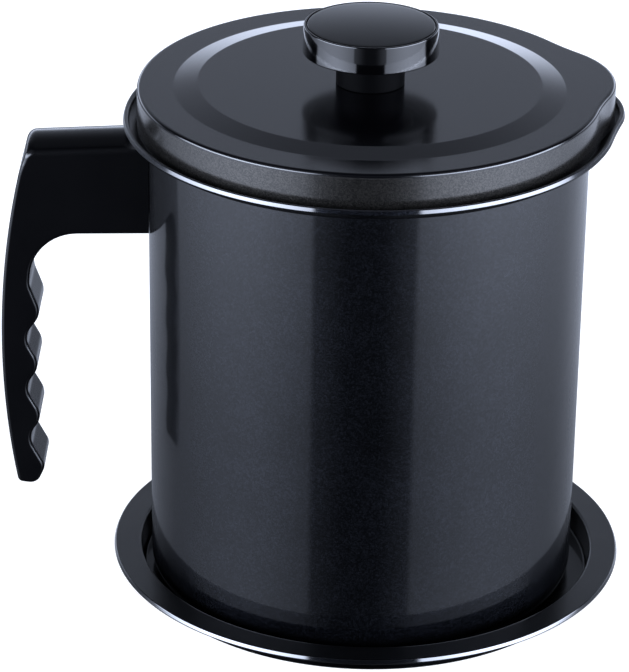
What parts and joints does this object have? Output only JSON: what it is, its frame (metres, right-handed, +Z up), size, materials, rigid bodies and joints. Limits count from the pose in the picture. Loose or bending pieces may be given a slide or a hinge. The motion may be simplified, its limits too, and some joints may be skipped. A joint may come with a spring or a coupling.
{
  "type": "grease container with strainer",
  "caption": "Coated steel kitchen grease pot with a pour spout, a side handle with finger grooves, a fine strainer inside, a lid with a mushroom knob and a saucer tray.",
  "frame": {"origin": "centre of the saucer tray's flat underside, where the object stands on a table", "axes": "+Z up along the pot, -X towards the handle, +X towards the pour spout, which stands 12 degrees round towards +Y. The pot's own axis is 1.4 mm towards -X of the tray's."},
  "size_m": [0.1735, 0.1432, 0.1637],
  "materials": {
    "pot_coat": "glossy dark charcoal coating with fine metallic fleck",
    "tray_coat": "glossy dark charcoal coating",
    "lid_coat": "satin dark charcoal coating, finely speckled on the skirt",
    "handle_plastic": "satin black moulding",
    "knob_plastic": "black moulding, glossy side and satin top",
    "strainer_steel": "bright pressed stainless steel",
    "mesh_steel": "fine woven stainless wire",
    "bracket_steel": "plain welded steel",
    "screw_steel": "bright zinc plated steel",
    "insert_brass": "turned brass"
  },
  "bodies": {
    "tray": {"drip_tray": "tray_coat"},
    "pot": {"pot_body": "pot_coat", "handle_bracket": "bracket_steel", "bracket_nut": "bracket_steel", "handle_grip": "handle_plastic", "handle_screw": "screw_steel"},
    "strainer": {"strainer_frame": "strainer_steel", "strainer_mesh": "mesh_steel", "strainer_hoop": "strainer_steel"},
    "lid": {"lid_shell": "lid_coat", "lid_knob": "knob_plastic", "knob_insert": "insert_brass", "knob_washer": "screw_steel", "knob_screw": "screw_steel"}
  },
  "joints": [
    {"name": "pot_lift", "type": "slide", "parent": "tray", "child": "pot", "axis": [0, 0, 1], "range_m": [0, 0.05]},
    {"name": "strainer_lift", "type": "slide", "parent": "pot", "child": "strainer", "axis": [0, 0, 1], "range_m": [0, 0.06]},
    {"name": "lid_lift", "type": "slide", "parent": "strainer", "child": "lid", "axis": [0, 0, 1], "range_m": [0, 0.06]}
  ]
}
